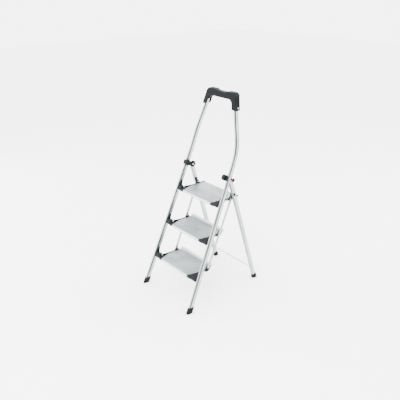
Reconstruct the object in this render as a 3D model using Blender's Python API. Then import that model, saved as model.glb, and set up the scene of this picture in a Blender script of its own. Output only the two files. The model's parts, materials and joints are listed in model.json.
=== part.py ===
"""Folding step ladder with three treads and a high safety rail.

Run with: blender --background --python part.py
Metres, +Z up, climber stands at -Y and climbs towards +Y, +X is the climber's right.
The origin is on the floor, in the middle of the footprint.
"""

import math

import bmesh
import bpy
from mathutils import Matrix, Vector

# Front frame: two oval stiles that lean back, close in slowly and bend in under the handle.
FRONT_Y = -0.3162          # stile centre line at the floor
STILE_X = 0.242            # half spacing of the stile centre lines at the floor
STILE_TAPER = 0.039        # closing of each stile per metre of height
STILE_LEAN = 0.4307        # backward run per metre of height
LEAN_EASE = (0.90, 1.05, 0.24)      # from height, to height, lean lost between them
INWARD_BEND = (0.955, 1.095, 0.27)  # from height, to height, inward slope gained
STILE_HALF_X = 0.0095
STILE_HALF_Y = 0.017
STILE_WALL = 0.0014
STILE_BOTTOM = 0.007
STILE_TOP = 1.293

# Treads: top surfaces, and the pivot above each of them on the stile centre line.
TREAD_NAMES = ("bottom", "middle", "platform")
FIRST_TREAD = 0.213
TREAD_RISE = 0.230
PIVOT_RISE = 0.006
TREAD_HALF_X = 0.165
TREAD_FRONT = -0.0286      # front edge, measured back from the pivot
TREAD_REAR = 0.1774
PLATFORM_REAR = 0.1919
SHEET = 0.0018
SKIRT = 0.018
STRIP_DOWN = 0.005         # the cap's side strip below the tread surface
STRIP_UP = 0.0034
CORNER_X = 0.138           # where the black corner starts along the front edge
CORNER_DEPTH = 0.088

# Layers from the middle outwards, as half widths.
CAP_IN, CAP_OUT = 0.1653, 0.1706
LINK_IN, LINK_OUT = 0.1716, 0.1746
BLOCK_IN = 0.1768          # behind the stile's middle, where the link bars fold past
BLOCK_NOSE_IN = 0.1716     # ahead of it
KNUCKLE_IN, KNUCKLE_OUT = 0.1750, 0.1811
HOOK_IN, HOOK_OUT = 0.1768, 0.1830
STUD_TIP = 0.1808
RING_IN, RING_OUT = 0.2210, 0.2246
RING_R = 0.0132

# Rear frame: straight box-section legs that turn on the knuckles.
KNUCKLE_Z = 0.8317
LEG_OFFSET = 0.0275        # leg pivot behind the stile centre line
LEG_TOP_X, LEG_FOOT_X = 0.1905, 0.2065
LEG_HALF_X = 0.009
LEG_HALF_DEPTH = 0.0145
LEG_WALL = 0.0014
LEG_TOP = 0.008            # leg end above its pivot
LEG_FOOT_GAP = 0.0085
REAR_FOOT_Y = FRONT_Y + 0.636
CROSSBAR_Z = 0.086

# Link bar pins, measured from each tread's own pivot. The platform's pin is also its support stud.
LINK_PIN = (0.1295, 0.008)
LINK_HALF_WIDTH = 0.0088

GAP = 0.0003
PIN_R = 0.0030
HOLE_R = 0.0034
STUD_R = 0.0040
HANDLE_TOP = 1.342
HANDLE_BOTTOM = 1.236
HANDLE_HALF_Y = 0.021
SEGMENTS = 20


def eased(z, ramp):
    """Run gained by a slope that grows evenly from nothing to its full value over a height."""
    start, end, slope = ramp
    if z <= start:
        return 0.0
    if z <= end:
        return 0.5 * slope * (z - start) ** 2 / (end - start)
    return 0.5 * slope * (end - start) + slope * (z - end)


def stile_y(z):
    return FRONT_Y + STILE_LEAN * z - eased(z, LEAN_EASE)


def stile_x(z):
    return STILE_X - STILE_TAPER * z - eased(z, INWARD_BEND)


def leg_x(down):
    """Leg centre line at a distance below its pivot; the legs spread towards the floor."""
    return LEG_TOP_X + (LEG_FOOT_X - LEG_TOP_X) * down / LEG_LENGTH


LEAN = math.atan(STILE_LEAN)
UP_STILE = Vector((0.0, math.sin(LEAN), math.cos(LEAN)))
BEHIND_STILE = Vector((0.0, math.cos(LEAN), -math.sin(LEAN)))
PIVOTS = [
    Vector((0.0, stile_y(z), z))
    for z in (FIRST_TREAD + TREAD_RISE * level + PIVOT_RISE for level in range(3))
]
KNUCKLE = Vector((0.0, stile_y(KNUCKLE_Z), KNUCKLE_Z))
LEG_PIVOT = KNUCKLE + BEHIND_STILE * LEG_OFFSET
LEG_ANGLE = math.atan((REAR_FOOT_Y - LEG_PIVOT.y) / LEG_PIVOT.z)
UP_LEG = Vector((0.0, -math.sin(LEG_ANGLE), math.cos(LEG_ANGLE)))
LEG_FRONT = Vector((0.0, -math.cos(LEG_ANGLE), -math.sin(LEG_ANGLE)))
LEG_LENGTH = LEG_PIVOT.z / math.cos(LEG_ANGLE)
STUD = PIVOTS[2] + Vector((0.0, *LINK_PIN))
SEAT_DOWN = (LEG_PIVOT - STUD).dot(UP_LEG)  # below the leg pivot, along the leg
MATERIALS = {}


# ---------------------------------------------------------------- mesh tools

def clear_scene():
    for old in list(bpy.data.objects):
        bpy.data.objects.remove(old, do_unlink=True)


def material(name, colour, metallic, roughness):
    made = bpy.data.materials.new(name)
    made.use_nodes = True
    shader = made.node_tree.nodes["Principled BSDF"]
    shader.inputs["Base Color"].default_value = (*colour, 1.0)
    shader.inputs["Metallic"].default_value = metallic
    shader.inputs["Roughness"].default_value = roughness
    MATERIALS[name] = made


def make_object(name, mesh_parts, finish):
    """Turn (points, faces) pairs into one object whose faces point outwards."""
    bm = bmesh.new()
    for points, faces in mesh_parts:
        made = [bm.verts.new(point) for point in points]
        for face in faces:
            bm.faces.new([made[index] for index in face])
    bmesh.ops.recalc_face_normals(bm, faces=bm.faces)
    mesh = bpy.data.meshes.new(name)
    bm.to_mesh(mesh)
    bm.free()
    mesh.shade_smooth()
    mesh.set_sharp_from_angle(angle=math.radians(35))
    own = MATERIALS[finish].copy()
    own.name = name + "_" + finish
    mesh.materials.append(own)
    made_object = bpy.data.objects.new(name, mesh)
    bpy.context.scene.collection.objects.link(made_object)
    return made_object


def boolean(target, mesh_parts, operation):
    """Add a Boolean modifier with a hidden helper mesh."""
    helper = make_object(target.name + "_" + operation.lower() + "_helper", mesh_parts, "aluminium")
    helper.hide_render = True
    helper.display_type = "WIRE"
    step = target.modifiers.new(operation.title(), "BOOLEAN")
    step.operation = operation
    step.solver = "EXACT"
    step.object = helper
    return target


def loft(rings):
    """Closed solid through rings of equal point counts, capped at both ends."""
    count = len(rings[0])
    points = [point for ring in rings for point in ring]
    faces = side_faces(0, len(rings), count)
    faces.append(list(range(count)))
    last = (len(rings) - 1) * count
    faces.append(list(range(last, last + count)))
    return points, faces


def side_faces(start, rows, count):
    faces = []
    for row in range(rows - 1):
        for index in range(count):
            after = (index + 1) % count
            low = start + row * count
            faces.append([low + index, low + after, low + count + after, low + count + index])
    return faces


def hollow_loft(outer, inner, floor=False):
    """Tube between outer and inner rings, open at both ends, or only at the last with a floor."""
    count = len(outer[0])
    points = [point for ring in outer + inner for point in ring]
    inner_start = len(outer) * count
    faces = side_faces(0, len(outer), count) + side_faces(inner_start, len(inner), count)
    outer_last = (len(outer) - 1) * count
    inner_last = inner_start + (len(inner) - 1) * count
    joins = [(outer_last, inner_last)]
    if floor:
        faces.append(list(range(count)))
        faces.append(list(range(inner_start, inner_start + count)))
    else:
        joins.append((0, inner_start))
    for first, second in joins:
        for index in range(count):
            after = (index + 1) % count
            faces.append([first + index, first + after, second + after, second + index])
    return points, faces


def prism(outline, x_from, x_to):
    """Outline of (y, z) points, extruded along X."""
    return loft([[(x, y, z) for y, z in outline] for x in (x_from, x_to)])


def flat_prism(outline, z_from, z_to):
    """Outline of (x, y) points, extruded along Z."""
    return loft([[(x, y, z) for x, y in outline] for z in (z_from, z_to)])


def turned(profile, centre, segments=16):
    """Solid turned about a line along X through centre, from (x, radius) points."""
    rings = []
    for x, radius in profile:
        ring = []
        for index in range(segments):
            turn = 2 * math.pi * index / segments
            ring.append((x, centre.y + radius * math.cos(turn), centre.z + radius * math.sin(turn)))
        rings.append(ring)
    return loft(rings)


def ring_solid(x_from, x_to, radius, hole, centre, segments=20):
    """Washer about a line along X."""
    outer = []
    inner = []
    for rings, size in ((outer, radius), (inner, hole)):
        for x in (x_from, x_to):
            turns = [2 * math.pi * index / segments for index in range(segments)]
            rings.append([(x, centre.y + size * math.cos(t), centre.z + size * math.sin(t)) for t in turns])
    return hollow_loft(outer, inner)


def arc(centre, radius, start, end, steps):
    """Points of a circle between two angles in degrees."""
    points = []
    for step in range(steps + 1):
        turn = math.radians(start + (end - start) * step / steps)
        points.append((centre[0] + radius * math.cos(turn), centre[1] + radius * math.sin(turn)))
    return points


def strip(path, thickness):
    """Outline of a bent sheet around its middle line."""
    left = []
    right = []
    for index, (y, z) in enumerate(path):
        before = path[max(index - 1, 0)]
        after = path[min(index + 1, len(path) - 1)]
        along = Vector((after[0] - before[0], after[1] - before[1])).normalized()
        left.append((y - along.y * thickness / 2, z + along.x * thickness / 2))
        right.append((y + along.y * thickness / 2, z - along.x * thickness / 2))
    return left + right[::-1]


def oval(z, side, grow=0.0, power=2.4):
    """Level section through a stile at a height: a softly squared oval."""
    step = 0.004
    run_x = (stile_x(z + step) - stile_x(z - step)) / (2 * step)
    run_y = (stile_y(z + step) - stile_y(z - step)) / (2 * step)
    half_x = (STILE_HALF_X + grow) * math.hypot(1, run_x)
    half_y = (STILE_HALF_Y + grow) * math.hypot(1, run_y)
    points = []
    for index in range(SEGMENTS):
        turn = 2 * math.pi * index / SEGMENTS
        x = math.copysign(abs(math.cos(turn)) ** (2 / power), math.cos(turn))
        y = math.copysign(abs(math.sin(turn)) ** (2 / power), math.sin(turn))
        points.append((side * (stile_x(z) + half_x * x), stile_y(z) + half_y * y, z))
    return points


def leg_section(down, side, half_x, half_depth, level=None):
    """Rounded section across a leg, at a distance down from its pivot or level with a height."""
    corner = min(half_x, half_depth) * 0.45
    points = []
    for turn_start, sign_x, sign_y in ((0, 1, 1), (90, -1, 1), (180, -1, -1), (270, 1, -1)):
        middle = (sign_x * (half_x - corner), sign_y * (half_depth - corner))
        points += arc(middle, corner, turn_start, turn_start + 90, 3)
    centre_x = leg_x(down)
    ring = []
    for x, depth in points:
        point = LEG_PIVOT - UP_LEG * down + LEG_FRONT * depth
        if level is not None:
            point -= UP_LEG * ((point.z - level) / UP_LEG.z)
        ring.append((side * (centre_x + x), point.y, point.z))
    return ring


def frame_outline(points, centre, forward, up):
    """Outline points (along forward, along up) about a centre, as (y, z) points."""
    placed = []
    for along, rise in points:
        point = centre + forward * along + up * rise
        placed.append((point.y, point.z))
    return placed


def stations(start, end, steps):
    return [start + (end - start) * step / steps for step in range(steps + 1)]


SIDES = (("left", -1), ("right", 1))


def fastener_pair(name, profile, place, hinge=None, finish="steel"):
    """A turned pin, screw or rivet on each side, with its profile in half widths."""
    for word, side in SIDES:
        made = make_object(name + "_" + word, [turned([(side * x, r) for x, r in profile], place)], finish)
        if hinge:
            hang(made, hinge)


# ---------------------------------------------------------------- front frame

def make_stiles():
    heights = [STILE_BOTTOM] + stations(LEAN_EASE[0], INWARD_BEND[1], 6) + [1.19, STILE_TOP]
    for word, side in SIDES:
        outer = [oval(z, side) for z in heights]
        inner = [oval(z, side, -STILE_WALL) for z in heights]
        stile = make_object("stile_" + word, [hollow_loft(outer, inner)], "aluminium")
        cutters = []
        for pivot in PIVOTS:
            middle = stile_x(pivot.z)
            span = [(side * (middle - 0.03), HOLE_R), (side * (middle + 0.03), HOLE_R)]
            cutters.append(turned(span, pivot))
        place = handle_screw_place()
        middle = stile_x(place.z)
        cutters.append(turned([(side * middle, 0.0026), (side * (middle + 0.03), 0.0026)], place))
        boolean(stile, cutters, "DIFFERENCE")


def handle_screw_place():
    height = HANDLE_BOTTOM + 0.016
    return Vector((0.0, stile_y(height), height))


def handle_outline():
    """Upright U of the handle in (x, z), with wide shoulders and a dip in the top."""
    inner_x = 0.1185
    inner_slope = 0.29
    bar_under = HANDLE_TOP - 0.047
    fillet = 0.036
    right = [
        (0.1565, HANDLE_BOTTOM),
        (0.1480, 1.276),
        (0.1390, 1.306),
    ]
    right += arc((0.1080, 1.312), 0.030, 8, 82, 5)
    right += [(0.060, HANDLE_TOP - 0.001), (0.038, HANDLE_TOP - 0.009)]
    meet = math.degrees(math.atan(inner_slope))
    meet_z = bar_under - fillet + fillet * math.sin(math.radians(meet))
    meet_x = inner_x - inner_slope * (meet_z - HANDLE_BOTTOM)
    inside = [(inner_x, HANDLE_BOTTOM)]
    inside += arc((meet_x - fillet * math.cos(math.radians(meet)), bar_under - fillet), fillet, meet, 90, 6)
    outline = right + [(-x, z) for x, z in right[::-1]]
    outline += [(-x, z) for x, z in inside] + inside[::-1]
    return outline


def make_handle():
    rings = []
    outline = handle_outline()
    for depth, inset in ((-1.0, 0.004), (-0.72, 0.0), (0.72, 0.0), (1.0, 0.004)):
        ring = []
        count = len(outline)
        for index, (x, z) in enumerate(outline):
            before = Vector(outline[index - 1])
            after = Vector(outline[(index + 1) % count])
            along = (after - before).normalized()
            shifted_x = x - along.y * inset
            shifted_z = max(z + along.x * inset, HANDLE_BOTTOM)
            ring.append((shifted_x, stile_y(shifted_z) + depth * HANDLE_HALF_Y, shifted_z))
        rings.append(ring)
    handle = make_object("handle", [loft(rings)], "black_plastic")
    cutters = []
    for _, side in SIDES:
        heights = (HANDLE_BOTTOM - 0.01, HANDLE_BOTTOM + 0.02, STILE_TOP + GAP)
        cutters.append(loft([oval(z, side, GAP) for z in heights]))
        channel = []
        for z in (HANDLE_BOTTOM - 0.01, HANDLE_BOTTOM + 0.02, 1.270):
            back = STILE_HALF_Y + 0.0016
            inner, outer = stile_x(z) - 0.030, stile_x(z) - 0.0015
            corners = ((inner, -back), (outer, -back), (outer, back), (inner, back))
            channel.append([(side * x, stile_y(z) + y, z) for x, y in corners])
        cutters.append(loft(channel))
    for cutter in cutters:
        boolean(handle, [cutter], "DIFFERENCE")
    place = handle_screw_place()
    holes = []
    for _, side in SIDES:
        reach = (stile_x(place.z) + 0.004, stile_x(place.z) + 0.04)
        holes.append(turned([(side * x, 0.0026) for x in reach], place))
    boolean(handle, holes, "DIFFERENCE")
    face = 0.1560
    profile = [(stile_x(place.z) + 0.005, 0.0022), (face, 0.0022), (face, 0.0042), (face + 0.0012, 0.0040),
               (face + 0.002, 0.0024)]
    fastener_pair("handle_screw", profile, place)


def make_front_feet():
    for word, side in SIDES:
        levels = ((0.0, 0.0030), (0.004, 0.0048), (0.034, 0.0046), (0.040, 0.0026))
        outer = [oval(z, side, grow) for z, grow in levels]
        inner = [oval(STILE_BOTTOM - GAP, side, GAP), oval(0.040, side, GAP)]
        make_object("front_foot_" + word, [hollow_loft(outer, inner, floor=True)], "black_plastic")


def make_hinge_blocks():
    """Low blocks between the treads and the stiles, each with a thin spike up the stile."""
    body = [
        (TREAD_FRONT, -0.0190), (TREAD_FRONT, -0.0070), (-0.0200, -0.0010), (-0.0080, 0.0075),
        (0.0050, 0.0080), (0.0090, 0.0030), (0.0075, -0.0080), (0.0020, -0.0190),
    ]
    nose = [
        (TREAD_FRONT, -0.0190), (TREAD_FRONT, -0.0070), (-0.0200, -0.0010), (-0.0100, 0.0060),
        (-0.0045, 0.0060), (-0.0045, -0.0190),
    ]
    spike = [
        (-0.0140, -0.0050), (0.0040, -0.0080), (0.0090, 0.0010), (0.0060, 0.0200),
        (0.0020, 0.0400), (-0.0010, 0.0425), (-0.0080, 0.0260), (-0.0130, 0.0100),
    ]
    for name, pivot in zip(TREAD_NAMES, PIVOTS):
        body_outline = [(pivot.y + y, pivot.z + z) for y, z in body]
        nose_outline = [(pivot.y + y, pivot.z + z) for y, z in nose]
        spike_outline = frame_outline(spike, pivot, BEHIND_STILE, UP_STILE)
        face = STILE_HALF_X + GAP
        body_reach = stile_x(pivot.z + 0.008) - face
        spike_reach = stile_x(pivot.z + 0.042) - face
        for word, side in SIDES:
            body_part = prism(body_outline, side * BLOCK_IN, side * body_reach)
            block = make_object("hinge_block_" + name + "_" + word, [body_part], "black_plastic")
            boolean(block, [prism(nose_outline, side * BLOCK_NOSE_IN, side * (BLOCK_IN + 0.002))], "UNION")
            boolean(block, [prism(spike_outline, side * (spike_reach - 0.0085), side * spike_reach)], "UNION")
            bore = [(side * (BLOCK_IN - 0.01), HOLE_R), (side * (body_reach + 0.01), HOLE_R)]
            boolean(block, [turned(bore, pivot)], "DIFFERENCE")
        face = stile_x(pivot.z) + STILE_HALF_X + 0.0006
        profile = [
            (CAP_IN - 0.0037, 0.0036), (CAP_IN - 0.0030, 0.0048), (CAP_IN - GAP, 0.0052),
            (CAP_IN - GAP, PIN_R),
            (face, PIN_R), (face, 0.0056), (face + 0.0010, 0.0052), (face + 0.0018, 0.0030),
        ]
        fastener_pair("pivot_pin_" + name, profile, pivot)


def make_knuckles():
    """Two-lobed plate inside each stile, thick beside the stile and thin where the leg turns on it."""
    front_lobe = arc((-0.0170, 0.0), 0.0195, 50, 310, 14)
    leg_lobe = arc((LEG_OFFSET, 0.0020), 0.0220, -125, 125, 12)
    outline = front_lobe + leg_lobe + [(0.0070, 0.0145)]
    outline = frame_outline(outline, KNUCKLE, BEHIND_STILE, UP_STILE)
    thick = arc((-0.0170, 0.0), 0.0195, 50, 310, 14) + [(0.0060, -0.0149), (0.0060, 0.0135)]
    thick = frame_outline(thick, KNUCKLE, BEHIND_STILE, UP_STILE)
    rim_points = [(-0.0225, -0.0150), (-0.0178, -0.0150), (-0.0178, 0.0150), (-0.0225, 0.0150)]
    rim = frame_outline(rim_points, KNUCKLE, BEHIND_STILE, UP_STILE)
    stile_face = stile_x(KNUCKLE_Z + 0.02) - STILE_HALF_X - GAP
    face = leg_x(0.0) + LEG_HALF_X
    for word, side in SIDES:
        plate = prism(outline, side * KNUCKLE_IN, side * KNUCKLE_OUT)
        knuckle = make_object("knuckle_" + word, [plate], "black_plastic")
        boolean(knuckle, [prism(thick, side * (KNUCKLE_OUT - 0.002), side * stile_face)], "UNION")
        boolean(knuckle, [prism(rim, side * (stile_face - 0.002), side * 0.2200)], "UNION")
        bore = [(side * (KNUCKLE_IN - 0.01), 0.0044), (side * 0.23, 0.0044)]
        boolean(knuckle, [turned(bore, LEG_PIVOT)], "DIFFERENCE")
        ring = ring_solid(side * RING_IN, side * RING_OUT, RING_R, 0.0076, LEG_PIVOT)
        make_object("knuckle_ring_" + word, [ring], "red_plastic")
    head = KNUCKLE_IN - GAP
    bolt = [
        (head - 0.0020, 0.0034), (head - 0.0012, 0.0048), (head, 0.0052), (head, 0.0040),
        (face + 0.0006, 0.0040),
    ]
    fastener_pair("knuckle_bolt", bolt, LEG_PIVOT)
    cap = [
        (face + 0.0009, 0.0090), (face + 0.0030, 0.0090), (face + 0.0036, 0.0072),
        (RING_OUT + 0.0004, 0.0072), (RING_OUT + 0.0014, 0.0060), (RING_OUT + 0.0018, 0.0030),
    ]
    fastener_pair("knuckle_cap", cap, LEG_PIVOT, finish="black_plastic")


# ---------------------------------------------------------------- rear frame

def make_rear_legs(hinge):
    half_x = LEG_HALF_X
    leg_end = LEG_LENGTH - LEG_FOOT_GAP
    crossbar_down = (LEG_PIVOT.z - CROSSBAR_Z) / math.cos(LEG_ANGLE)
    crossbar_middle = LEG_PIVOT - UP_LEG * crossbar_down
    rivet = crossbar_middle + LEG_FRONT * 0.005
    bolt_down = SEAT_DOWN + 0.033
    button_down = SEAT_DOWN - 0.0205
    hook_bolt = LEG_PIVOT - UP_LEG * bolt_down
    hook_button = LEG_PIVOT - UP_LEG * button_down
    for word, side in SIDES:
        downs = (-LEG_TOP, leg_end)
        outer = [leg_section(down, side, half_x, LEG_HALF_DEPTH) for down in downs]
        inner = [leg_section(down, side, half_x - LEG_WALL, LEG_HALF_DEPTH - LEG_WALL) for down in downs]
        leg = make_object("rear_leg_" + word, [hollow_loft(outer, inner)], "aluminium")
        cutters = []
        holes = ((LEG_PIVOT, 0.0044), (rivet, 0.0026), (hook_bolt, HOLE_R), (hook_button, HOLE_R))
        for place, radius in holes:
            cutters.append(turned([(side * 0.17, radius), (side * 0.23, radius)], place))
        boolean(leg, cutters, "DIFFERENCE")
        hang(leg, hinge)

        inside = (half_x - LEG_WALL - GAP, LEG_HALF_DEPTH - LEG_WALL - GAP)
        plug_rings = [
            leg_section(0.020, side, *inside),
            leg_section(-LEG_TOP - GAP, side, *inside),
            leg_section(-LEG_TOP - GAP, side, half_x, LEG_HALF_DEPTH),
            leg_section(-LEG_TOP - 0.0030, side, half_x - 0.001, LEG_HALF_DEPTH - 0.0020),
            leg_section(-LEG_TOP - 0.0048, side, half_x - 0.003, LEG_HALF_DEPTH - 0.0060),
        ]
        plug = make_object("leg_plug_" + word, [loft(plug_rings)], "black_plastic")
        boolean(plug, [turned([(side * 0.17, 0.0044), (side * 0.23, 0.0044)], LEG_PIVOT)], "DIFFERENCE")
        hang(plug, hinge)

        foot_top = leg_end - 0.026
        foot_outer = [
            leg_section(LEG_LENGTH, side, half_x + 0.0024, LEG_HALF_DEPTH + 0.0026, level=0.0),
            leg_section(LEG_LENGTH - 0.004, side, half_x + 0.0040, LEG_HALF_DEPTH + 0.0042, level=0.004),
            leg_section(foot_top + 0.004, side, half_x + 0.0038, LEG_HALF_DEPTH + 0.0040),
            leg_section(foot_top, side, half_x + 0.0024, LEG_HALF_DEPTH + 0.0024),
        ]
        foot_inner = [
            leg_section(leg_end + GAP, side, half_x + GAP, LEG_HALF_DEPTH + GAP),
            leg_section(foot_top, side, half_x + GAP, LEG_HALF_DEPTH + GAP),
        ]
        foot_part = hollow_loft(foot_outer, foot_inner, floor=True)
        foot = make_object("rear_foot_" + word, [foot_part], "black_plastic")
        hang(foot, hinge)
        make_leg_hook(word, side, (hook_bolt, hook_button), hinge)

    make_crossbar(crossbar_middle, rivet, crossbar_down, hinge)
    for name, down, place, radius, finish in (
        ("leg_hook_bolt", bolt_down, hook_bolt, 0.0062, "steel"),
        ("leg_hook_button", button_down, hook_button, 0.0105, "black_plastic"),
    ):
        face = leg_x(down) + LEG_HALF_X + GAP
        profile = [
            (HOOK_IN + 0.0004, PIN_R), (face, PIN_R), (face, radius),
            (face + 0.0016, radius - 0.0002), (face + 0.0028, radius - 0.0022),
        ]
        fastener_pair(name, profile, place, hinge, finish)


def make_leg_hook(word, side, bolts, hinge):
    """Catch that the platform's stud rests in; it opens upwards and to the rear."""
    points = [(0.0125, 0.0340), (-0.0105, 0.0225), (-0.0080, 0.0172), (-0.0022, 0.0110), (0.0040, 0.0046)]
    points += arc((0.0, 0.0), 0.0044, 0, -140, 8)
    points += [
        (-0.0090, -0.0080), (-0.0110, -0.0110), (-0.0110, -0.0180), (-0.0082, -0.0260), (-0.0082, -0.0360),
        (-0.0062, -0.0388), (0.0010, -0.0388), (0.0030, -0.0360), (0.0030, -0.0260), (0.0080, -0.0160),
        (0.0092, -0.0060),
    ]
    outline = frame_outline(points, STUD, LEG_FRONT, UP_LEG)
    hook = make_object("leg_hook_" + word, [prism(outline, side * HOOK_IN, side * HOOK_OUT)], "black_plastic")
    bores = [turned([(side * (HOOK_IN - 0.01), HOLE_R), (side * 0.21, HOLE_R)], place) for place in bolts]
    boolean(hook, bores, "DIFFERENCE")
    hang(hook, hinge)


def make_crossbar(middle, rivet, down, hinge):
    """Strip of bent flat bar whose ends are riveted to the legs' inner faces."""
    reach = leg_x(down) - LEG_HALF_X - GAP
    sheet = 0.0022
    inner = reach - sheet
    shape = [
        (-reach, -0.003), (reach, -0.003), (reach, 0.0115), (inner, 0.0115),
        (inner, -0.003 + sheet), (-inner, -0.003 + sheet), (-inner, 0.0115), (-reach, 0.0115),
    ]
    rings = []
    for rise in (-0.008, 0.008):
        ring = []
        for x, depth in shape:
            point = middle + LEG_FRONT * depth + UP_LEG * rise
            ring.append((x, point.y, point.z))
        rings.append(ring)
    bar = make_object("rear_crossbar", [loft(rings)], "aluminium")
    holes = []
    for _, side in SIDES:
        span = [(side * (reach - 0.01), 0.0026), (side * (reach + 0.01), 0.0026)]
        holes.append(turned(span, rivet))
    boolean(bar, holes, "DIFFERENCE")
    hang(bar, hinge)
    inside = reach - sheet - GAP
    face = leg_x(down) + LEG_HALF_X + GAP
    profile = [(inside - 0.0012, 0.0030), (inside, 0.0042), (inside, 0.0022), (face, 0.0022),
               (face, 0.0046), (face + 0.0012, 0.0030)]
    fastener_pair("crossbar_rivet", profile, rivet, hinge)


# ---------------------------------------------------------------- treads and link bars

def tread_path(rear, with_lip):
    """Middle line of the bent sheet, from the front return to the rear edge, about the pivot."""
    top = -PIVOT_RISE - SHEET / 2
    bend = 0.004
    front = TREAD_FRONT + SHEET / 2
    path = [(front + 0.009, top - SKIRT), (front + 0.0045, top - SKIRT)]
    path += arc((front + 0.0020, top - SKIRT + 0.0020), 0.0020, 260, 185, 3)
    path += arc((front + bend, top - bend), bend, 178, 95, 5)
    if with_lip:
        radius = 0.026
        path += arc((rear - 0.028, top + radius), radius, -88, -18, 7)
        return path
    mirrored = [(rear + TREAD_FRONT - y, z) for y, z in path]
    return path + mirrored[::-1]


def cap_outline(rear, with_lip):
    """Side view of an end cap about the tread's pivot: pivot ear, low hump, link ear and rear end."""
    top = -PIVOT_RISE
    corner_end = TREAD_FRONT + CORNER_DEPTH
    points = [(TREAD_FRONT, top - 0.017), (TREAD_FRONT, top + 0.001), (-0.0180, top + 0.0040)]
    points += arc((0.0, 0.0), 0.0078, 150, 40, 5)
    points += [(0.0300, top + 0.0080), (0.0560, top + 0.0050), (0.0800, top + STRIP_UP)]
    points += [(LINK_PIN[0] - 0.0200, top + STRIP_UP)]
    points += arc(LINK_PIN, 0.0106, 150, 20, 6)
    points += [(LINK_PIN[0] + 0.0150, top + STRIP_UP)]
    end = rear - 0.0290 if with_lip else rear
    points += [(end, top + STRIP_UP), (end, top - STRIP_DOWN)]
    points += [
        (LINK_PIN[0] + 0.0120, top - STRIP_DOWN), (LINK_PIN[0] + 0.0020, top - 0.0190),
        (LINK_PIN[0] - 0.0180, top - 0.0200), (LINK_PIN[0] - 0.0290, top - STRIP_DOWN),
    ]
    points += [(corner_end + 0.0020, top - STRIP_DOWN), (corner_end - 0.0060, top - 0.017)]
    return points


def make_treads(hinges):
    for level, (name, pivot, hinge) in enumerate(zip(TREAD_NAMES, PIVOTS, hinges)):
        with_lip = level < 2
        rear = TREAD_REAR if with_lip else PLATFORM_REAR
        path = [(pivot.y + y, pivot.z + z) for y, z in tread_path(rear, with_lip)]
        sheet_name = "platform_sheet" if name == "platform" else name + "_tread_sheet"
        bent = prism(strip(path, SHEET), -TREAD_HALF_X, TREAD_HALF_X)
        sheet = make_object(sheet_name, [bent], "tread_aluminium")
        front = pivot.y + TREAD_FRONT
        flange_rear = pivot.y + rear - (0.030 if with_lip else 0.0010)
        flange_top = pivot.z - PIVOT_RISE - SHEET / 2
        flange_bottom = pivot.z - PIVOT_RISE - SKIRT
        flange = [
            (front + 0.020, flange_top), (flange_rear, flange_top),
            (flange_rear, flange_bottom), (front + 0.020, flange_bottom),
        ]
        flanges = [prism(flange, side * (TREAD_HALF_X - SHEET), side * TREAD_HALF_X) for _, side in SIDES]
        boolean(sheet, flanges, "UNION")
        slope = (CAP_IN + 0.002 - CORNER_X) / CORNER_DEPTH
        top = pivot.z - PIVOT_RISE
        corner_cuts = []
        for _, side in SIDES:
            ahead = 0.02
            start = CORNER_X - 0.0005
            wedge = [(side * (start - slope * ahead), front - ahead), (side * 0.2, front - ahead),
                     (side * 0.2, front + (0.2 - start) / slope)]
            corner_cuts.append(flat_prism(wedge, top - 0.05, top + 0.05))
        boolean(sheet, corner_cuts, "DIFFERENCE")
        hang(sheet, hinge)

        outline = [(pivot.y + y, pivot.z + z) for y, z in cap_outline(rear, with_lip)]
        link_pin = pivot + Vector((0.0, *LINK_PIN))
        for word, side in SIDES:
            cap_part = prism(outline, side * CAP_IN, side * CAP_OUT)
            cap = make_object(name + "_end_cap_" + word, [cap_part], "black_plastic")
            overlap = CAP_IN + 0.002
            corner_end = front + CORNER_DEPTH
            corner = [(side * CORNER_X, front), (side * overlap, front), (side * overlap, corner_end)]
            boolean(cap, [flat_prism(corner, top - 0.0165, top + 0.0008)], "UNION")
            bores = []
            for place in (pivot, link_pin):
                span = [(side * (CAP_IN - 0.01), HOLE_R), (side * (CAP_OUT + 0.01), HOLE_R)]
                bores.append(turned(span, place))
            boolean(cap, bores, "DIFFERENCE")
            hang(cap, hinge)

    shoulder = LINK_OUT + GAP
    profile = pin_head() + [(shoulder, PIN_R), (shoulder, STUD_R)]
    profile += [(STUD_TIP - 0.0006, STUD_R), (STUD_TIP, 0.0034)]
    fastener_pair("support_stud", profile, STUD, hinges[2])


def pin_head():
    """Head of a pin on the inner face of a cap, and the start of its shank."""
    face = CAP_IN - GAP
    return [(face - 0.0016, 0.0042), (face - 0.0010, 0.0048), (face, 0.0048), (face, PIN_R)]


def make_links(hinge):
    ends = [pivot + Vector((0.0, *LINK_PIN)) for pivot in PIVOTS]
    top_arc = arc((0.0, 0.0), LINK_HALF_WIDTH, 0, 180, 8)
    bottom_arc = arc((0.0, 0.0), LINK_HALF_WIDTH, 180, 360, 8)
    outline = frame_outline(top_arc, ends[2], BEHIND_STILE, UP_STILE)
    outline += frame_outline(bottom_arc, ends[0], BEHIND_STILE, UP_STILE)
    for word, side in SIDES:
        bar = make_object("link_bar_" + word, [prism(outline, side * LINK_IN, side * LINK_OUT)], "aluminium")
        span = [(side * (LINK_IN - 0.01), HOLE_R), (side * (LINK_OUT + 0.01), HOLE_R)]
        holes = [turned(span, end) for end in ends]
        boolean(bar, holes, "DIFFERENCE")
        hang(bar, hinge)
    profile = pin_head() + [(LINK_OUT + GAP, PIN_R), (LINK_OUT + GAP, 0.0052), (LINK_OUT + 0.0013, 0.0036)]
    for name, end in zip(TREAD_NAMES[:2], ends):
        fastener_pair("link_pin_" + name, profile, end, hinge)


# ---------------------------------------------------------------- assembly

def hinge_empty(name, place):
    empty = bpy.data.objects.new(name, None)
    empty.location = place
    bpy.context.scene.collection.objects.link(empty)
    return empty


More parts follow.
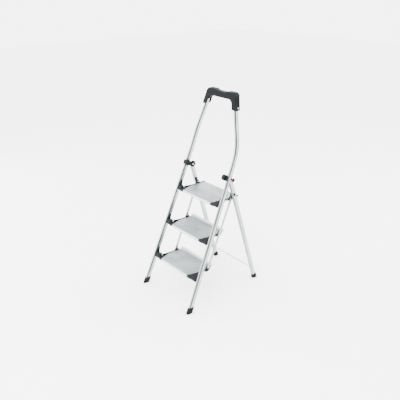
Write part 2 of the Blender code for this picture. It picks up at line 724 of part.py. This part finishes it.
def hang(piece, hinge):
    """Parent a piece to its hinge's empty and leave it where it is."""
    piece.parent = hinge
    piece.matrix_parent_inverse = Matrix.Translation(hinge.location).inverted()


def build():
    clear_scene()
    material("aluminium", (0.80, 0.82, 0.83), 0.9, 0.32)
    material("tread_aluminium", (0.78, 0.81, 0.83), 0.85, 0.42)
    material("steel", (0.62, 0.63, 0.64), 1.0, 0.30)
    material("black_plastic", (0.028, 0.032, 0.036), 0.0, 0.50)
    material("red_plastic", (0.28, 0.03, 0.05), 0.0, 0.40)
    make_stiles()
    make_handle()
    make_front_feet()
    make_hinge_blocks()
    make_knuckles()
    make_rear_legs(hinge_empty("rear_hinge", LEG_PIVOT))
    names = [name + "_hinge" for name in TREAD_NAMES]
    make_treads([hinge_empty(name, pivot) for name, pivot in zip(names, PIVOTS)])
    make_links(hinge_empty("link_hinge", PIVOTS[2] + Vector((0.0, *LINK_PIN))))


build()
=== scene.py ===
"""Looks for the folding step ladder: finer meshes, procedural finishes, light and camera."""

import json
import math

import bmesh
import bpy
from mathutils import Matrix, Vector


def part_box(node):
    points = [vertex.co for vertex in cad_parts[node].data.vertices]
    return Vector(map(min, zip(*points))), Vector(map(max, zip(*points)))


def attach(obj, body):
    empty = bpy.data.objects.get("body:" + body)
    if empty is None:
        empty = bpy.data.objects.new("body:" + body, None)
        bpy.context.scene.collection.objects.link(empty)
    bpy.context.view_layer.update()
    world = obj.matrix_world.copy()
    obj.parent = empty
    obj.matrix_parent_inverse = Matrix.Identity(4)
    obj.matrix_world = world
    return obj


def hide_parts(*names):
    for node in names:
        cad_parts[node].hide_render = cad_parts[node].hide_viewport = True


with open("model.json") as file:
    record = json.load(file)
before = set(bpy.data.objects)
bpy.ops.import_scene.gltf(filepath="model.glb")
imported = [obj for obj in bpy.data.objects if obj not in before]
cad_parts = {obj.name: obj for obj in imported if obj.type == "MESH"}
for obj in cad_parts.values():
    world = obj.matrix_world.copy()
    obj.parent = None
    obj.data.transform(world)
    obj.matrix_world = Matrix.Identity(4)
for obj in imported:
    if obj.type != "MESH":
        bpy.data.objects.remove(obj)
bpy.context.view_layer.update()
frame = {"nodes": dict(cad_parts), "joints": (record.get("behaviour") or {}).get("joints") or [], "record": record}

NODES = frame["nodes"]
RECORD = frame["record"]
BODIES = RECORD["behaviour"]["bodies"]
BODY_OF = {node: body for body, members in BODIES.items() for node in members}
SLOT_OF = {row["node"]: row["material_slot"] for row in RECORD["subparts"]}
JOINTS = {joint["name"]: joint for joint in frame["joints"]}
MOUNTS = {mount["name"]: Vector(mount["pos_m"]) for mount in RECORD["mounts"]}
SIDES = (("left", -1), ("right", 1))
TREAD_JOINTS = ("bottom_tread_fold", "middle_tread_fold", "platform_fold")
PIVOTS = [Vector(JOINTS[name]["pos_m"]) for name in TREAD_JOINTS]

# The stiles follow the same course as the frame's own.
STILE_FLOOR = MOUNTS["front_foot_right_sole"]
STILE_TAPER = 0.039
STILE_LEAN = (PIVOTS[2].y - PIVOTS[0].y) / (PIVOTS[2].z - PIVOTS[0].z)
LEAN_EASE = (0.90, 1.05, 0.24)
INWARD_BEND = (0.955, 1.095, 0.27)
STILE_HALF_X = 0.0095
STILE_HALF_Y = 0.017
STILE_WALL = 0.0014
HAIR = 0.00015              # the finer stile stays this far inside the frame's
FLUTES = (-0.60, 0.60)     # places of the two grooves across a stile's broad faces
FLUTE_DEPTH = 0.0008
RIB_PITCH = 0.0070         # ribs on the treads
OVAL_POINTS = 72

# Studio and camera.
FLOOR_HALF = 14.0
FLOOR_Z = -0.0004
WORLD_STRENGTH = 6.0
LIT_POINT = (0.0, 0.0, 0.65)
CAMERA_PLACE = (2.3343, STILE_FLOOR.y - 1.6807, 1.9837)
CAMERA_TURN = (1.1556, 0.0, 0.8678)
CAMERA_LENS = 45.29


# ---------------------------------------------------------------- finishes

def new_material(name):
    made = bpy.data.materials.new(name)
    made.use_nodes = True
    tree = made.node_tree
    return made, tree, tree.nodes["Principled BSDF"]


def noise(tree, vector, scale, detail=3.0, roughness=0.55):
    node = tree.nodes.new("ShaderNodeTexNoise")
    node.inputs["Scale"].default_value = scale
    node.inputs["Detail"].default_value = detail
    node.inputs["Roughness"].default_value = roughness
    tree.links.new(vector, node.inputs["Vector"])
    return node.outputs["Fac"]


def stretched(tree, scale):
    """Object coordinates stretched along chosen axes, for brushing and drawing lines."""
    coordinates = tree.nodes.new("ShaderNodeTexCoord")
    mapping = tree.nodes.new("ShaderNodeMapping")
    mapping.inputs["Scale"].default_value = scale
    tree.links.new(coordinates.outputs["Object"], mapping.inputs["Vector"])
    return mapping.outputs["Vector"]


def ramp(tree, value, low, high, dark, light):
    """Colour ramp between two colours as a value goes from low to high."""
    node = tree.nodes.new("ShaderNodeValToRGB")
    node.color_ramp.elements[0].position = low
    node.color_ramp.elements[1].position = high
    node.color_ramp.elements[0].color = (*dark, 1.0)
    node.color_ramp.elements[1].color = (*light, 1.0)
    tree.links.new(value, node.inputs["Fac"])
    return node.outputs["Color"]


def span(tree, value, low, high):
    """Value from 0 to 1 mapped to a range."""
    node = tree.nodes.new("ShaderNodeMapRange")
    node.inputs["To Min"].default_value = low
    node.inputs["To Max"].default_value = high
    tree.links.new(value, node.inputs["Value"])
    return node.outputs["Result"]


def bump(tree, shader, height, strength, distance, after=None):
    node = tree.nodes.new("ShaderNodeBump")
    node.inputs["Strength"].default_value = strength
    node.inputs["Distance"].default_value = distance
    tree.links.new(height, node.inputs["Height"])
    if after is not None:
        tree.links.new(after, node.inputs["Normal"])
    tree.links.new(node.outputs["Normal"], shader.inputs["Normal"])
    return node.outputs["Normal"]


def edge_wear(tree, low=0.49, high=0.56):
    """Light value where the surface is convex."""
    geometry = tree.nodes.new("ShaderNodeNewGeometry")
    node = tree.nodes.new("ShaderNodeMapRange")
    node.inputs["From Min"].default_value = low
    node.inputs["From Max"].default_value = high
    tree.links.new(geometry.outputs["Pointiness"], node.inputs["Value"])
    return node.outputs["Result"]


def mix_colour(tree, factor, first, second):
    node = tree.nodes.new("ShaderNodeMix")
    node.data_type = "RGBA"
    tree.links.new(factor, node.inputs["Factor"])
    for value, place in ((first, 6), (second, 7)):
        if isinstance(value, tuple):
            node.inputs[place].default_value = (*value, 1.0)
        else:
            tree.links.new(value, node.inputs[place])
    return node.outputs[2]


def facing(tree, axis, low, high):
    """Value from 0 to 1 as the surface turns towards an axis of the object, either way along it."""
    coordinates = tree.nodes.new("ShaderNodeTexCoord")
    split = tree.nodes.new("ShaderNodeSeparateXYZ")
    tree.links.new(coordinates.outputs["Normal"], split.inputs["Vector"])
    size = tree.nodes.new("ShaderNodeMath")
    size.operation = "ABSOLUTE"
    tree.links.new(split.outputs[axis], size.inputs[0])
    node = tree.nodes.new("ShaderNodeMapRange")
    node.inputs["From Min"].default_value = low
    node.inputs["From Max"].default_value = high
    tree.links.new(size.outputs[0], node.inputs["Value"])
    return node.outputs["Result"]


def drawn_aluminium(name, along, colour_low, colour_high, rough_low, rough_high, painted_reflection_lines=None):
    """Satin anodised tube with fine die lines along its length and faint handling marks, and, where asked, painted
    reflection: dark lines beside the edges that turn towards Y.
    """
    made, tree, shader = new_material(name)
    lines = noise(tree, stretched(tree, along), 34.0, 4.0, 0.6)
    cloud = noise(tree, stretched(tree, (1.0, 1.0, 1.0)), 9.0, 3.0, 0.5)
    marks = noise(tree, stretched(tree, (1.0, 1.0, 1.0)), 160.0, 4.0, 0.7)
    tint = ramp(tree, cloud, 0.35, 0.68, colour_low, colour_high)
    speck = ramp(tree, marks, 0.62, 0.78, colour_high, tuple(c * 0.93 for c in colour_high))
    colour = mix_colour(tree, span(tree, lines, 0.1, 0.5), tint, speck)
    if painted_reflection_lines:
        low, high, shade = painted_reflection_lines
        # Painted reflection: a dark band where the surface turns part way towards the object's Y axis.
        painted_reflection_band = tree.nodes.new("ShaderNodeMath")
        painted_reflection_band.operation = "SUBTRACT"
        tree.links.new(facing(tree, "Y", low, low + 0.12), painted_reflection_band.inputs[0])
        tree.links.new(facing(tree, "Y", high - 0.08, high), painted_reflection_band.inputs[1])
        colour = mix_colour(tree, painted_reflection_band.outputs[0], colour, shade)
    tree.links.new(colour, shader.inputs["Base Color"])
    tree.links.new(span(tree, lines, rough_low, rough_high), shader.inputs["Roughness"])
    first = bump(tree, shader, lines, 0.10, 0.00025)
    bump(tree, shader, marks, 0.05, 0.0002, first)
    shader.inputs["Metallic"].default_value = 0.85
    return made


def rib_height(tree, pitch):
    """Rounded ribs that run across the tread, one every pitch along its depth."""
    coordinates = tree.nodes.new("ShaderNodeTexCoord")
    split = tree.nodes.new("ShaderNodeSeparateXYZ")
    tree.links.new(coordinates.outputs["Object"], split.inputs["Vector"])
    phase = tree.nodes.new("ShaderNodeMath")
    phase.operation = "MULTIPLY"
    phase.inputs[1].default_value = 2 * math.pi / pitch
    tree.links.new(split.outputs["Y"], phase.inputs[0])
    wave = tree.nodes.new("ShaderNodeMath")
    wave.operation = "SINE"
    tree.links.new(phase.outputs[0], wave.inputs[0])
    flat = tree.nodes.new("ShaderNodeMapRange")
    flat.inputs["From Min"].default_value = 0.35
    flat.inputs["From Max"].default_value = 0.90
    tree.links.new(wave.outputs[0], flat.inputs["Value"])
    return flat.outputs["Result"]


def tread_aluminium():
    """Brushed sheet, brushed across the tread, duller and slightly scuffed where feet go, with painted shade on
    the flats between the ribs and a painted highlight on the faces that do not face up.
    """
    made, tree, shader = new_material("tread_brushed_aluminium")
    brush = noise(tree, stretched(tree, (1.0, 22.0, 22.0)), 26.0, 5.0, 0.65)
    cloud = noise(tree, stretched(tree, (1.0, 1.6, 1.0)), 6.0, 3.0, 0.5)
    scuff = noise(tree, stretched(tree, (3.0, 1.0, 1.0)), 55.0, 5.0, 0.75)
    tint = ramp(tree, cloud, 0.40, 0.60, (0.19, 0.212, 0.225), (0.54, 0.565, 0.575))
    dull = ramp(tree, scuff, 0.58, 0.80, (0.40, 0.425, 0.435), (0.20, 0.22, 0.23))
    ribs = rib_height(tree, RIB_PITCH)
    sheet = mix_colour(tree, span(tree, brush, 0.05, 0.40), tint, dull)
    # Painted shade: the flats between the ribs take a darker colour, the rib crests keep the sheet colour.
    sheet = mix_colour(tree, ribs, (0.13, 0.147, 0.153), sheet)
    # Painted highlight: faces turned away from up, such as front skirts and lips, take a pale flat colour in place
    # of the sheet.
    painted_skirt_highlight_fade = facing(tree, "Z", 0.55, 0.97)
    tree.links.new(mix_colour(tree, painted_skirt_highlight_fade, (0.52, 0.54, 0.545), sheet), shader.inputs["Base Color"])
    tree.links.new(span(tree, brush, 0.34, 0.56), shader.inputs["Roughness"])
    first = bump(tree, shader, ribs, 0.85, 0.0005)
    second = bump(tree, shader, brush, 0.12, 0.0003, first)
    bump(tree, shader, scuff, 0.06, 0.0003, second)
    shader.inputs["Metallic"].default_value = 0.72
    return made


def zinc_steel():
    made, tree, shader = new_material("zinc_plated_steel")
    grain = noise(tree, stretched(tree, (1.0, 1.0, 1.0)), 240.0, 4.0, 0.6)
    cloud = noise(tree, stretched(tree, (1.0, 1.0, 1.0)), 70.0, 2.0, 0.5)
    tint = ramp(tree, cloud, 0.35, 0.70, (0.50, 0.51, 0.52), (0.72, 0.73, 0.74))
    tree.links.new(tint, shader.inputs["Base Color"])
    tree.links.new(span(tree, grain, 0.22, 0.42), shader.inputs["Roughness"])
    bump(tree, shader, grain, 0.10, 0.0002)
    shader.inputs["Metallic"].default_value = 1.0
    return made


def moulded_plastic(name, colour, worn, rough_low, rough_high, grain_depth):
    """Moulded plastic with spark-eroded grain, faint mottling and paler worn edges."""
    made, tree, shader = new_material(name)
    grain = noise(tree, stretched(tree, (1.0, 1.0, 1.0)), 900.0, 2.0, 0.5)
    mottle = noise(tree, stretched(tree, (1.0, 1.0, 1.0)), 38.0, 4.0, 0.6)
    tint = ramp(tree, mottle, 0.35, 0.70, colour, tuple(c * 1.55 for c in colour))
    tree.links.new(mix_colour(tree, edge_wear(tree), tint, worn), shader.inputs["Base Color"])
    tree.links.new(span(tree, mottle, rough_low, rough_high), shader.inputs["Roughness"])
    bump(tree, shader, grain, 0.18, grain_depth)
    shader.inputs["Specular IOR Level"].default_value = 0.04
    return made


# Painted reflection, dark lines beside the edges: where they start and end as the surface turns to Y, and their
# colour.
TUBE_PAINTED_REFLECTION_LINES = (0.28, 0.84, (0.016, 0.018, 0.020))
BAR_PAINTED_REFLECTION_LINES = (0.20, 0.90, (0.012, 0.013, 0.014))
ALONG_Z = (26.0, 26.0, 0.8)
ALONG_X = (0.8, 26.0, 26.0)

TUBE = drawn_aluminium(
    "anodised_tube_painted_reflection", ALONG_Z, (0.26, 0.285, 0.29), (0.40, 0.42, 0.425), 0.20, 0.34, TUBE_PAINTED_REFLECTION_LINES)
# Painted shade: a near-black colour for the flute faces of the stiles, giving dark lines along them.
GROOVE_PAINTED_SHADE = drawn_aluminium(
    "anodised_groove_painted_shade", ALONG_Z, (0.020, 0.023, 0.025), (0.042, 0.046, 0.048), 0.40, 0.60)
BAR = drawn_aluminium(
    "mill_flat_bar_painted_reflection", ALONG_Z, (0.22, 0.235, 0.24), (0.34, 0.355, 0.36), 0.30, 0.46, BAR_PAINTED_REFLECTION_LINES)
CROSS = drawn_aluminium(
    "mill_cross_bar", ALONG_X, (0.46, 0.48, 0.49), (0.60, 0.62, 0.62), 0.28, 0.44)
TREAD = tread_aluminium()
STEEL = zinc_steel()
BLACK = moulded_plastic(
    "black_grained_plastic", (0.0012, 0.0017, 0.0019), (0.007, 0.0085, 0.009), 0.40, 0.60, 0.00012)
SOFT_BLACK = moulded_plastic(
    "black_soft_foot", (0.0012, 0.0015, 0.0016), (0.007, 0.008, 0.008), 0.58, 0.78, 0.0002)
RED = moulded_plastic(
    "dark_red_plastic", (0.045, 0.002, 0.008), (0.12, 0.015, 0.03), 0.30, 0.45, 0.00008)


# ---------------------------------------------------------------- mesh tools

def finish_mesh(name, bm, material, node=None, smooth=32.0):
    """Make an object from a bmesh, give it its finish, and let it ride with the node it stands for."""
    bmesh.ops.recalc_face_normals(bm, faces=bm.faces)
    mesh = bpy.data.meshes.new(name)
    bm.to_mesh(mesh)
    bm.free()
    mesh.shade_smooth()
    mesh.set_sharp_from_angle(angle=math.radians(smooth))
    mesh.materials.append(material)
    made = bpy.data.objects.new(name, mesh)
    bpy.context.scene.collection.objects.link(made)
    if node:
        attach(made, BODY_OF[node])
        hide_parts(node)
    return made


def loft(bm, rings, caps=True):
    """Skin through rings of equal point counts; returns the rings' vertices."""
    rows = [[bm.verts.new(point) for point in ring] for ring in rings]
    count = len(rings[0])
    for low, high in zip(rows, rows[1:]):
        for index in range(count):
            after = (index + 1) % count
            bm.faces.new((low[index], low[after], high[after], high[index]))
    if caps:
        bm.faces.new(rows[0][::-1])
        bm.faces.new(rows[-1])
    return rows


def join_rings(bm, first, second):
    count = len(first)
    for index in range(count):
        after = (index + 1) % count
        bm.faces.new((first[index], first[after], second[after], second[index]))


def refined(node, material, width, name=None, segments=3, sharp=28.0):
    """The node's own shape with clean flat faces and softly rounded edges."""
    bm = bmesh.new()
    bm.from_mesh(NODES[node].data)
    bmesh.ops.remove_doubles(bm, verts=bm.verts, dist=0.00002)
    bmesh.ops.dissolve_limit(bm, angle_limit=math.radians(1.0), verts=bm.verts, edges=bm.edges)
    made = finish_mesh(name or node + "_moulded", bm, material, node)
    step = made.modifiers.new("rounded_edges", "BEVEL")
    step.width = width
    step.segments = segments
    step.limit_method = "ANGLE"
    step.angle_limit = math.radians(sharp)
    step.use_clamp_overlap = True
    step.harden_normals = True
    return made


def stations(start, end, steps):
    return [start + (end - start) * step / steps for step in range(steps + 1)]


def eased(z, bend):
    """Run gained by a slope that grows evenly to its full value between two heights."""
    start, end, slope = bend
    if z <= start:
        return 0.0
    if z <= end:
        return 0.5 * slope * (z - start) ** 2 / (end - start)
    return 0.5 * slope * (end - start) + slope * (z - end)


def stile_y(z):
    return STILE_FLOOR.y + STILE_LEAN * z - eased(z, LEAN_EASE)


def stile_x(z):
    return STILE_FLOOR.x - STILE_TAPER * z - eased(z, INWARD_BEND)


def oval(z, side, grow=0.0, flute=0.0):
    """Level section of a stile: softly squared oval, with shallow flutes on its long sides."""
    step = 0.004
    run_x = (stile_x(z + step) - stile_x(z - step)) / (2 * step)
    run_y = (stile_y(z + step) - stile_y(z - step)) / (2 * step)
    half_x = (STILE_HALF_X - HAIR + grow) * math.hypot(1, run_x)
    half_y = (STILE_HALF_Y - HAIR + grow) * math.hypot(1, run_y)
    points = []
    for index in range(OVAL_POINTS):
        turn = 2 * math.pi * index / OVAL_POINTS
        x = math.copysign(abs(math.cos(turn)) ** (2 / 2.4), math.cos(turn))
        y = math.copysign(abs(math.sin(turn)) ** (2 / 2.4), math.sin(turn))
        dip = 0.0
        for centre in FLUTES:
            dip += flute * math.exp(-((y - centre) / 0.085) ** 2)
        points.append((side * (stile_x(z) + (half_x - dip) * x), stile_y(z) + half_y * y, z))
    return points


# ---------------------------------------------------------------- front frame

def make_stile(word, side):
    node = "stile_" + word
    low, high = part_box(node)
    heights = [low.z] + stations(LEAN_EASE[0] - 0.02, INWARD_BEND[1] + 0.02, 26) + stations(1.16, high.z, 4)
    bm = bmesh.new()
    outer = loft(bm, [oval(z, side, flute=FLUTE_DEPTH) for z in heights], caps=False)
    for face in bm.faces:
        middle = face.calc_center_median()
        across = (middle.y - stile_y(middle.z)) / STILE_HALF_Y
        # Faces on a flute get the painted-shade material.
        on_painted_shade_groove = min(abs(across - centre) for centre in FLUTES) < 0.15
        face.material_index = 1 if on_painted_shade_groove else 0
    inner = loft(bm, [oval(z, side, -STILE_WALL) for z in heights], caps=False)
    join_rings(bm, outer[0], inner[0])
    join_rings(bm, outer[-1], inner[-1])
    made = finish_mesh(node + "_fluted_tube", bm, TUBE, node)
    made.data.materials.append(GROOVE_PAINTED_SHADE)


def make_black_parts():
    widths = {"knuckle": 0.0012, "leg_hook": 0.0009, "hinge_block": 0.0022, "leg_plug": 0.0006}
    for prefix, width in widths.items():
        for node in sorted(NODES):
            steel = "bolt" in node or "ring" in node or "screw" in node
            if node.startswith(prefix) and not steel:
                refined(node, BLACK, width)
    for node in sorted(NODES):
        if "end_cap" in node:
            refined(node, BLACK, 0.0012)
        if "foot" in node:
            refined(node, SOFT_BLACK, 0.0010)
    refined("handle", BLACK, 0.0030, segments=4)
    for word, _ in SIDES:
        refined("knuckle_ring_" + word, RED, 0.0009)


def make_steel_parts():
    for node in sorted(NODES):
        if SLOT_OF[node] == "steel":
            refined(node, STEEL, 0.0005, node + "_plated")


def make_aluminium_parts():
    for word, side in SIDES:
        make_stile(word, side)
        refined("rear_leg_" + word, TUBE, 0.0004, segments=2, sharp=50.0)
        refined("link_bar_" + word, BAR, 0.0008)
    refined("rear_crossbar", CROSS, 0.0006)
    for node in ("bottom_tread_sheet", "middle_tread_sheet", "platform_sheet"):
        refined(node, TREAD, 0.0004, segments=2, sharp=50.0)


# ---------------------------------------------------------------- light and camera

def area_light(name, place, target, size, power, colour=(1.0, 1.0, 1.0)):
    lamp = bpy.data.lights.new(name, "AREA")
    lamp.shape = "RECTANGLE"
    lamp.size, lamp.size_y = size
    lamp.energy = power
    lamp.color = colour
    made = bpy.data.objects.new(name, lamp)
    made.location = place
    made.rotation_euler = (Vector(target) - Vector(place)).to_track_quat("-Z", "Y").to_euler()
    bpy.context.scene.collection.objects.link(made)


def make_studio():
    bm = bmesh.new()
    corners = []
    for x, y in ((-1, -1), (1, -1), (1, 1), (-1, 1)):
        corners.append(bm.verts.new((x * FLOOR_HALF, y * FLOOR_HALF, FLOOR_Z)))
    bm.faces.new(corners)
    made, tree, shader = new_material("pale_floor")
    shade = noise(tree, stretched(tree, (1.0, 1.0, 1.0)), 3.0, 3.0, 0.5)
    colour = ramp(tree, shade, 0.3, 0.7, (0.90, 0.90, 0.90), (0.92, 0.92, 0.92))
    tree.links.new(colour, shader.inputs["Base Color"])
    shader.inputs["Roughness"].default_value = 0.7
    floor = finish_mesh("studio_floor", bm, made)

    world = bpy.data.worlds.new("studio")
    bpy.context.scene.world = world
    world.use_nodes = True
    sky = world.node_tree.nodes["Background"]
    sky.inputs["Color"].default_value = (1.0, 1.0, 1.0, 1.0)
    sky.inputs["Strength"].default_value = WORLD_STRENGTH
    area_light("key_light", (1.2, -2.6, 3.2), LIT_POINT, (2.2, 2.2), 230.0)
    area_light("side_light", (-3.0, -0.8, 1.8), LIT_POINT, (1.6, 2.6), 60.0)
    area_light("rear_light", (0.8, 3.0, 2.6), LIT_POINT, (2.6, 1.6), 90.0)


def make_camera():
    """Three-quarter view from the climber's right, a little above the handle."""
    lens = bpy.data.cameras.new("camera")
    lens.sensor_width = 36.0
    lens.lens = CAMERA_LENS
    made = bpy.data.objects.new("camera", lens)
    made.location = CAMERA_PLACE
    made.rotation_euler = CAMERA_TURN
    bpy.context.scene.collection.objects.link(made)
    bpy.context.scene.camera = made


make_camera()
make_aluminium_parts()
make_black_parts()
make_steel_parts()
make_studio()
